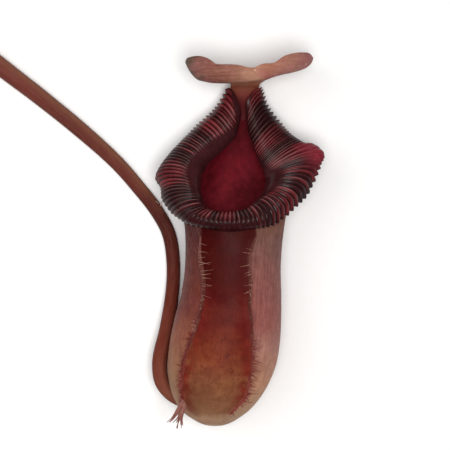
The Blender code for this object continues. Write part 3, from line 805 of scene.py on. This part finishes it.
def lidMaterial():
    made, tree, place, uv, blotch = newSkin("lid_skin", 120.0, 2.2)
    parts = parted(tree, uv)
    where = stray(tree, parts["X"], blotch, 0.08)
    # the lid's own tones across it, with painted shade at the left tip and a painted highlight in the middle
    skin = ramp(tree, where, [(0.06, "4f4539"), (0.14, "5e4a3e"), (0.24, "79483f"), (0.38, "87574a"),
                              (0.47, "a27460"), (0.53, "ad7e66"), (0.6, "9a6250"), (0.75, "9d6c5c"),
                              (0.84, "916059"), (0.93, "845350")])
    line = useGroup(tree, veins, place=place, across=60.0, along=900.0, width=0.12)
    streak = between(tree, line["Streaks"], 0.4, 0.65)
    skin = tint(tree, skin, streak, 0.14, "7c4238")
    skin = tint(tree, skin, line["Lines"], 0.15, "c8a286")
    patches = blotches(tree, place, 60.0, 3.6)
    skin = tint(tree, skin, between(tree, patches, 0.35, 0.85), 0.45, "aa666c")
    grain = blotches(tree, place, 300.0, 4.0)
    skin = tint(tree, skin, grain, 0.35, "a88a7c", "MULTIPLY")
    dots = useGroup(tree, specks, place=place, scale=350.0, size=0.2)["Specks"]
    skin = tint(tree, skin, dots, 0.5, "d9c0aa")
    return finishMaterial(made, skin, 0.55, 0.06, noise(tree, place, 900.0, 4.0), 0.06)


def stemMaterial():
    made, tree, place, uv, blotch = newSkin("neck_skin", 150.0, 2.4)
    line = useGroup(tree, veins, place=uv, across=30.0, along=3.0, width=0.12)
    skin = tint(tree, neckTone(tree, place, blotch), line["Streaks"], 0.25, "481a16")
    return finishMaterial(made, skin, 0.5, 0.08, noise(tree, place, 900.0, 4.0), 0.06)


# The tendril from its cut end to the cup's base: place, radius.
tendril = {
    "route": (
        (-110.5, 127.5, 3.9, 3.9), (-92.0, 113.2, 3.7, 3.7), (-74.0, 99.3, 3.4, 3.4), (-58.0, 86.2, 3.2, 3.2),
        (-44.4, 73.9, 3.0, 3.0), (-35.6, 64.0, 2.9, 2.9), (-27.8, 54.0, 2.8, 2.8), (-22.6, 44.2, 2.8, 2.8),
        (-20.8, 32.0, 3.0, 2.8), (-21.3, 19.7, 4.6, 2.8), (-23.5, 5.2, 8.2, 3.0), (-25.7, -4.4, 11.2, 3.1),
        (-26.1, -10.0, 12.8, 3.1), (-25.1, -15.5, 14.0, 3.0), (-21.9, -19.8, 15.2, 2.8),
        (-17.7, -22.6, 16.2, 2.5), (-12.5, -24.0, 17.4, 2.3),
    ),
    "sides": 28,
    "rings": 300,
    "swell": 0.02,  # as a part of its radius, as the ridges are
    "ridges": 0.012,
    "lookAhead": 0.5,
    "crease": math.radians(50),
}


def tendrilShape(across, along):
    rows = np.array(tendril["route"])
    points, radii = rows[:, :3], rows[:, 3:]
    keys = chainKeys(points)
    at = along * keys[-1]
    middle = curveThrough(keys, points, at)
    radius = curveThrough(keys, radii, at)[:, 0]
    look = tendril["lookAhead"]
    ahead = unit(curveThrough(keys, points, np.minimum(at + look, keys[-1]))
                 - curveThrough(keys, points, np.maximum(at - look, 0)))
    side = unit(np.cross(ahead, (0, 0, 1)))
    upward = np.cross(side, ahead)
    angle = -across * 2 * math.pi
    swell = tendril["swell"] * waves(at * 0.18, 2 * np.cos(angle), 5)
    radius = radius * (1 + swell + tendril["ridges"] * np.cos(5 * angle + at * 0.05))
    places = middle + (side * np.cos(angle)[:, None] + upward * np.sin(angle)[:, None]) * radius[:, None]
    places[:, 2] = np.maximum(places[:, 2], 0)
    return places


def makeTendril(material, cutter):
    piece, across, along = gridPiece("tendril_stalk", tendril["sides"], tendril["rings"], tendrilShape)
    weld(piece)
    closeHoles(piece)
    applyModifier(piece, "BOOLEAN", operation="DIFFERENCE", solver="EXACT", object=cutter)
    smooth(piece)
    bpy.ops.object.shade_smooth_by_angle(angle=tendril["crease"])
    finishPiece(piece, "tendril", [material])


def tendrilMaterial():
    made, tree, place, uv, blotch = newSkin("tendril_bark", 140.0, 2.0)
    parts = parted(tree, uv)
    where = stray(tree, parts["Y"], blotch, 0.06)
    # along the tendril; the darker stretch near the cup, about 0.55 to 0.68, is partly its own maroon and partly
    # painted shade where the cup and lip overhang it
    skin = ramp(tree, where, [(0.0, "69342c"), (0.2, "68312a"), (0.3, "5c2c24"), (0.44, "612c25"),
                              (0.5, "5d2820"), (0.55, "4a1d18"), (0.6, "431813"), (0.68, "501b12"),
                              (0.78, "672a1e"), (0.88, "6a3024"), (0.94, "723e2e"), (1.0, "7c4838")])
    # painted light: one side of the tendril, on the half towards its cut end, is painted lighter as if lit
    aside = maths(tree, "ABSOLUTE", maths(tree, "SUBTRACT", parts["X"], 0.56))
    paintedLitSide = between(tree, aside, 0.2, 0.06)
    paintedLitSide = times(tree, paintedLitSide, ramp(tree, where, [(0.0, 0.7), (0.5, 0.7), (0.58, 0.0)]))
    skin = mix(tree, paintedLitSide, skin, "825440")
    line = useGroup(tree, veins, place=uv, across=22.0, along=14.0, width=0.1)
    skin = tint(tree, skin, between(tree, line["Streaks"], 0.4, 0.65), 0.16, "42201a")
    skin = tint(tree, skin, line["Lines"], 0.1, "9a6a58")
    relief = maths(tree, "ADD", noise(tree, place, 1100.0, 4.0), line["Lines"])
    return finishMaterial(made, skin, 0.5, 0.05, relief, 0.06)


# The fringes: each wing is a thin blade with bristles standing on its crest. A zone of bristles
# gives where on the wing it starts and ends, how many it has, how far they lean to the right, the
# shortest, the longest, and how far they lean towards the lid.
fringe = {
    "wings": (("left_wing", "leftWing", "leftZones", -0.5, 4),
              ("right_wing", "rightWing", "rightZones", 0.5, 9)),  # with the blade's lean and a seed
    "stations": 220,
    "rayStart": 80,
    "bladeHeight": 1.5,
    "bladeLean": 1.6,  # how much of its lean a blade loses by its lower end
    "bladeProfile": ((-0.5, 0.5), (0.15, 0.4), (0.55, 0.24), (0.85, 0.16), (1.0, 0.12)),
    "bristleSides": 5,
    "bristleJoints": 5,
    "bristleWidth": 0.1,
    "bristleBend": 0.012,
    "bristleTaper": 0.76,
    "bristleRise": (0.15, 0.6),
    "bristleStray": 0.5,
    "bristleThickness": (0.17, 0.27),
    "coarser": 1.4,  # how much thicker they get by the wing's lower end
    "sunk": 0.15,
    "twist": (0, 6.3),
    "leftZones": ((0.03, 0.34, 12, 3.4, 3.6, 6.6, -0.4), (0.3, 0.5, 12, 0.6, 1.0, 2.6, 0.0),
                  (0.46, 0.8, 64, 0.2, 1.2, 3.0, 0.1), (0.8, 0.98, 30, -0.6, 1.0, 2.6, -0.3)),
    "rightZones": ((0.06, 0.34, 8, -2.6, 2.4, 5.0, -0.4), (0.2, 0.55, 16, -0.5, 0.8, 2.0, 0.0),
                   (0.55, 0.9, 34, 1.3, 1.6, 4.2, -0.2), (0.85, 0.98, 8, 0.8, 1.0, 2.4, -0.3)),
}


def makeBristle():
    # one bent, tapering bristle a unit long that points along Z
    deselectAll()
    bpy.ops.mesh.primitive_circle_add(
        vertices=fringe["bristleSides"], radius=fringe["bristleWidth"] / 2, fill_type="NGON")
    bristle = bpy.context.object
    bristle.name = "bristle_model"
    bpy.ops.object.mode_set(mode="EDIT")
    bpy.ops.mesh.select_all(action="SELECT")
    joints, taper = fringe["bristleJoints"], fringe["bristleTaper"]
    for joint in range(joints):
        bend = fringe["bristleBend"] * (joint + 1)
        bpy.ops.mesh.extrude_region_move(TRANSFORM_OT_translate={"value": (bend, 0, 1 / joints)})
        bpy.ops.transform.resize(value=(taper, taper, 1))
    bpy.ops.mesh.select_all(action="SELECT")
    bpy.ops.mesh.normals_make_consistent(inside=False)
    bpy.ops.object.mode_set(mode="OBJECT")
    smooth(bristle)
    return bristle


def wingFeet(route, tree, stations):
    # the wing's route, dropped onto the cup's skin
    path = np.array([(x, y, 0.0) for x, y in route])
    keys = chainKeys(path)
    feet = []
    for k in range(stations + 1):
        place = curveThrough(keys, path, np.array([keys[-1] * k / stations]))[0]
        start = Vector((place + origin + (0, 0, fringe["rayStart"])) * mm)
        foot, normal, _, _ = tree.ray_cast(start, Vector((0, 0, -1)))
        feet.append((np.array(foot) / mm - origin, np.array(normal)))
    return feet


def makeWing(name, route, tree, lean, material):
    stations = fringe["stations"]
    feet = wingFeet(route, tree, stations)
    centre = np.array([foot for foot, _ in feet])
    normal = np.array([facing for _, facing in feet])
    ahead = unit(np.gradient(centre, axis=0))
    side = unit(np.cross(normal, ahead))
    lower = np.linspace(0, 1, stations + 1)
    wobble = waves(lower * 34, lower * 3, len(route), 9)
    upward = unit(normal + side * (lean * (1 - fringe["bladeLean"] * lower) + 0.5 * wobble)[:, None])
    ends = np.minimum(6 * lower + 0.15, 8 * (1 - lower) + 0.2)
    tall = fringe["bladeHeight"] * np.minimum(1, ends) * (1 + 0.25 * wobble)
    # a profile's heights are millimetres below the skin and shares of the blade's height above it
    profile = fringe["bladeProfile"]
    ring = [*profile, *[(rise, -half) for rise, half in reversed(profile)], profile[0]]

    def shape(across, along):
        k = np.round(along * stations).astype(int)
        j = np.round(across * (len(ring) - 1)).astype(int)
        rise, half = np.array(ring)[j].T
        height = np.where(rise < 0, rise, rise * tall[k])
        return centre[k] + upward[k] * height[:, None] + side[k] * half[:, None]

    piece, across, along = gridPiece(name, len(ring) - 1, stations, shape)
    weld(piece)
    closeHoles(piece)
    applyModifier(piece, "SUBSURF", levels=1, render_levels=1)
    smooth(piece)
    finishPiece(piece, "pitcher_cup", [material])
    return centre + upward * tall[:, None], upward, side


def scatterBristles(name, model, rows, material, node="pitcher_cup"):
    copies = []
    for place, direction, tall, thick, twist in rows:
        wide = thick * mm / fringe["bristleWidth"]
        size = Matrix.Diagonal((wide, wide, tall * mm, 1))
        turn = Vector(direction).to_track_quat("Z", "Y").to_matrix().to_4x4() @ Matrix.Rotation(twist, 4, "Z")
        copy = addObject("bristle", model.data.copy())
        copy.matrix_world = Matrix.Translation(Vector((place + origin) * mm)) @ turn @ size
        copies.append(copy)
    deselectAll()
    for copy in copies:
        copy.select_set(True)
    bpy.context.view_layer.objects.active = copies[0]
    bpy.ops.object.join()
    bpy.ops.object.transform_apply(location=True, rotation=True, scale=True)
    piece = bpy.context.object
    piece.name = piece.data.name = name
    finishPiece(piece, node, [material])


def bristleRows(zones, crest, upward, side, seed):
    rng = random.Random(seed)
    spread = fringe["bristleStray"]
    rows = []
    for start, stop, count, rightward, shortest, longest, lidward in zones:
        for k in range(count):
            at = start + (stop - start) * (k + rng.uniform(0.0, 1.4)) / (count + 0.4)
            i = int(at * (len(crest) - 1))
            across = side[i] * np.sign(side[i][0])
            lean = across * (rightward + rng.uniform(-spread, spread))
            rise = upward[i] * rng.uniform(*fringe["bristleRise"])
            lift = np.array([0, lidward + rng.uniform(-spread, spread), 0])
            tall = rng.uniform(shortest, longest)
            thick = rng.uniform(*fringe["bristleThickness"]) * (1 + fringe["coarser"] * i / len(crest))
            foot = crest[i] - upward[i] * fringe["sunk"]
            rows.append((foot, unit(rise + lean + lift), tall, thick, rng.uniform(*fringe["twist"])))
    return rows


def fringeMaterial(name, low, high, edge):
    made, tree, place, uv, blotch = newSkin(name, 260.0, 3.0)
    height = parted(tree, place)["Y"]
    where = between(tree, maths(tree, "MULTIPLY_ADD", blotch, 0.025, height), *edge)
    skin = mix(tree, where, mix(tree, blotch, *low), mix(tree, blotch, *high))
    return finishMaterial(made, skin, 0.5, 0.15, blotch, 0.05)


# The long strands at the left wing's foot.
tuft = {
    "count": 18,
    "above": 4,  # stations from the wing's lower end to the lowest strand
    "rightward": (-0.56, -0.34),
    "lift": (-0.25, 0.0),
    "length": (7.5, 11.5),
    "thickness": (1.0, 1.6),
    "colours": ("74403a", "9a6a5c"),
}


def makeTuft(model, crest):
    rng = random.Random(2)
    rows = []
    for k in range(tuft["count"]):
        direction = unit(np.array([rng.uniform(*tuft["rightward"]), -1.0, rng.uniform(*tuft["lift"])]))
        tall = rng.uniform(*tuft["length"])
        thick = rng.uniform(*tuft["thickness"])
        rows.append((crest[-tuft["above"] - k // 2], direction, tall, thick, rng.uniform(*fringe["twist"])))
    strands = fringeMaterial("tuft_strands", tuft["colours"], tuft["colours"], (-0.05, -0.02))
    scatterBristles("wing_tuft", model, rows, strands)


# The pale curl on the tendril and the pale scale where it meets the cup: place, direction,
# length and thickness of each strand.
scales = {
    "curl": (((-26.4, 55.8, 3.6), (0.6, 0.1, 0.8), 2.2, 0.9),
             ((-26.9, 56.4, 3.8), (0.2, 0.7, 0.8), 1.6, 0.8)),
    "bract": (((-18.0, 15.6, 21.5), (-0.8, 0.0, 0.6), 0.9, 1.1),
              ((-18.0, 14.8, 22.5), (-0.8, 0.0, 0.6), 0.7, 1.0)),
    "colours": ("b89484", "d4bcb0"),
}


def makeScales(model):
    colours = scales["colours"]
    pale = fringeMaterial("pale_scales", colours, colours, (-0.05, -0.02))
    curl, bract = ([(np.array(place), unit(np.array(way)), tall, thick, 0.0)
                    for place, way, tall, thick in scales[name]] for name in ("curl", "bract"))
    scatterBristles("tendril_curl", model, curl, pale, "tendril")
    scatterBristles("cup_bract", model, bract, pale)


def seatCutter(skin):
    # the cup's closed outside, which cuts away the end of the tendril inside it
    cutter = addObject("seat_cutter", skin.data.copy())
    closeHoles(cutter)
    facesOut(cutter)
    return cutter


def buildCupAndTendril():
    skin = makeCup()
    cutter = seatCutter(skin)
    makeTendril(tendrilMaterial(), cutter)
    bm = bmesh.new()
    bm.from_mesh(skin.data)
    tree = BVHTree.FromBMesh(bm)
    bm.free()
    bpy.data.objects.remove(cutter, do_unlink=True)
    finishCup(skin, [cupMaterial(), throatMaterial()])
    blade = fringeMaterial("wing_membrane", ("6a2420", "84463a"), ("4a1a18", "6c4036"), (-0.05, -0.02))
    hairs = fringeMaterial("wing_bristles", ("5c1418", "8a3432"), ("8c584a", "bc8e7c"), (-0.03, -0.012))
    model = makeBristle()
    for name, route, zones, lean, seed in fringe["wings"]:
        crest, upward, side = makeWing(name, cup[route], tree, lean, blade)
        rows = bristleRows(fringe[zones], crest, upward, side, seed)
        scatterBristles(name + "_bristles", model, rows, hairs)
        if name == "left_wing":
            makeTuft(model, crest)
    makeScales(model)
    bpy.data.objects.remove(model, do_unlink=True)


makeLip(lipMaterial())
makeLid(lidMaterial())
makeStem(stemMaterial())
buildCupAndTendril()

# The studio. A light has its place from the cup's middle and its width in metres, and its watts.
studio = {
    "camera": (0.4, 48.0, 661.0),
    "lens": 128.0,
    "sensor": 36.0,
    "clipEnd": 10.0,
    "floor": 2.4,
    "ambient": 0.2,
    "lights": (("key", (0.05, -0.06, 0.85), 0.4, 6.4), ("fill", (-0.4, 0.12, 0.75), 0.7, 2.2)),
}


def makeStudio():
    deselectAll()
    bpy.ops.mesh.primitive_plane_add(size=studio["floor"], location=(0, 0, 0))
    floor = bpy.context.object
    floor.name = "studio_floor"
    made, tree, place, uv = newMaterial("studio_paper")
    paper = mix(tree, noise(tree, place, 300.0), "f2f1ef", "f6f5f4")
    floor.data.materials.append(finishMaterial(made, paper, 0.9, 0.1))
    middle = (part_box("pitcher_cup")[0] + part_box("pitcher_cup")[1]) / 2
    for name, place, size, power in studio["lights"]:
        lamp = bpy.data.lights.new(name, "AREA")
        lamp.shape = "DISK"
        lamp.size = size
        lamp.energy = power
        lampObject = addObject(name, lamp)
        lampObject.location = middle + Vector(place)
        lampObject.rotation_euler = (middle - lampObject.location).to_track_quat("-Z", "Y").to_euler()
    world = bpy.data.worlds.new("studio")
    world.use_nodes = True
    sky = world.node_tree.nodes["Background"].inputs
    sky["Color"].default_value = (1, 1, 1, 1)
    sky["Strength"].default_value = studio["ambient"]
    bpy.context.scene.world = world
    camera = bpy.data.cameras.new("camera")
    camera.lens = studio["lens"]
    camera.sensor_width = studio["sensor"]
    camera.clip_end = studio["clipEnd"]
    cameraObject = addObject("camera", camera)
    cameraObject.location = Vector((np.array(studio["camera"]) + origin) * mm)
    bpy.context.scene.camera = cameraObject
    bpy.context.scene.view_settings.view_transform = "Standard"


makeStudio()
print("studio ready")
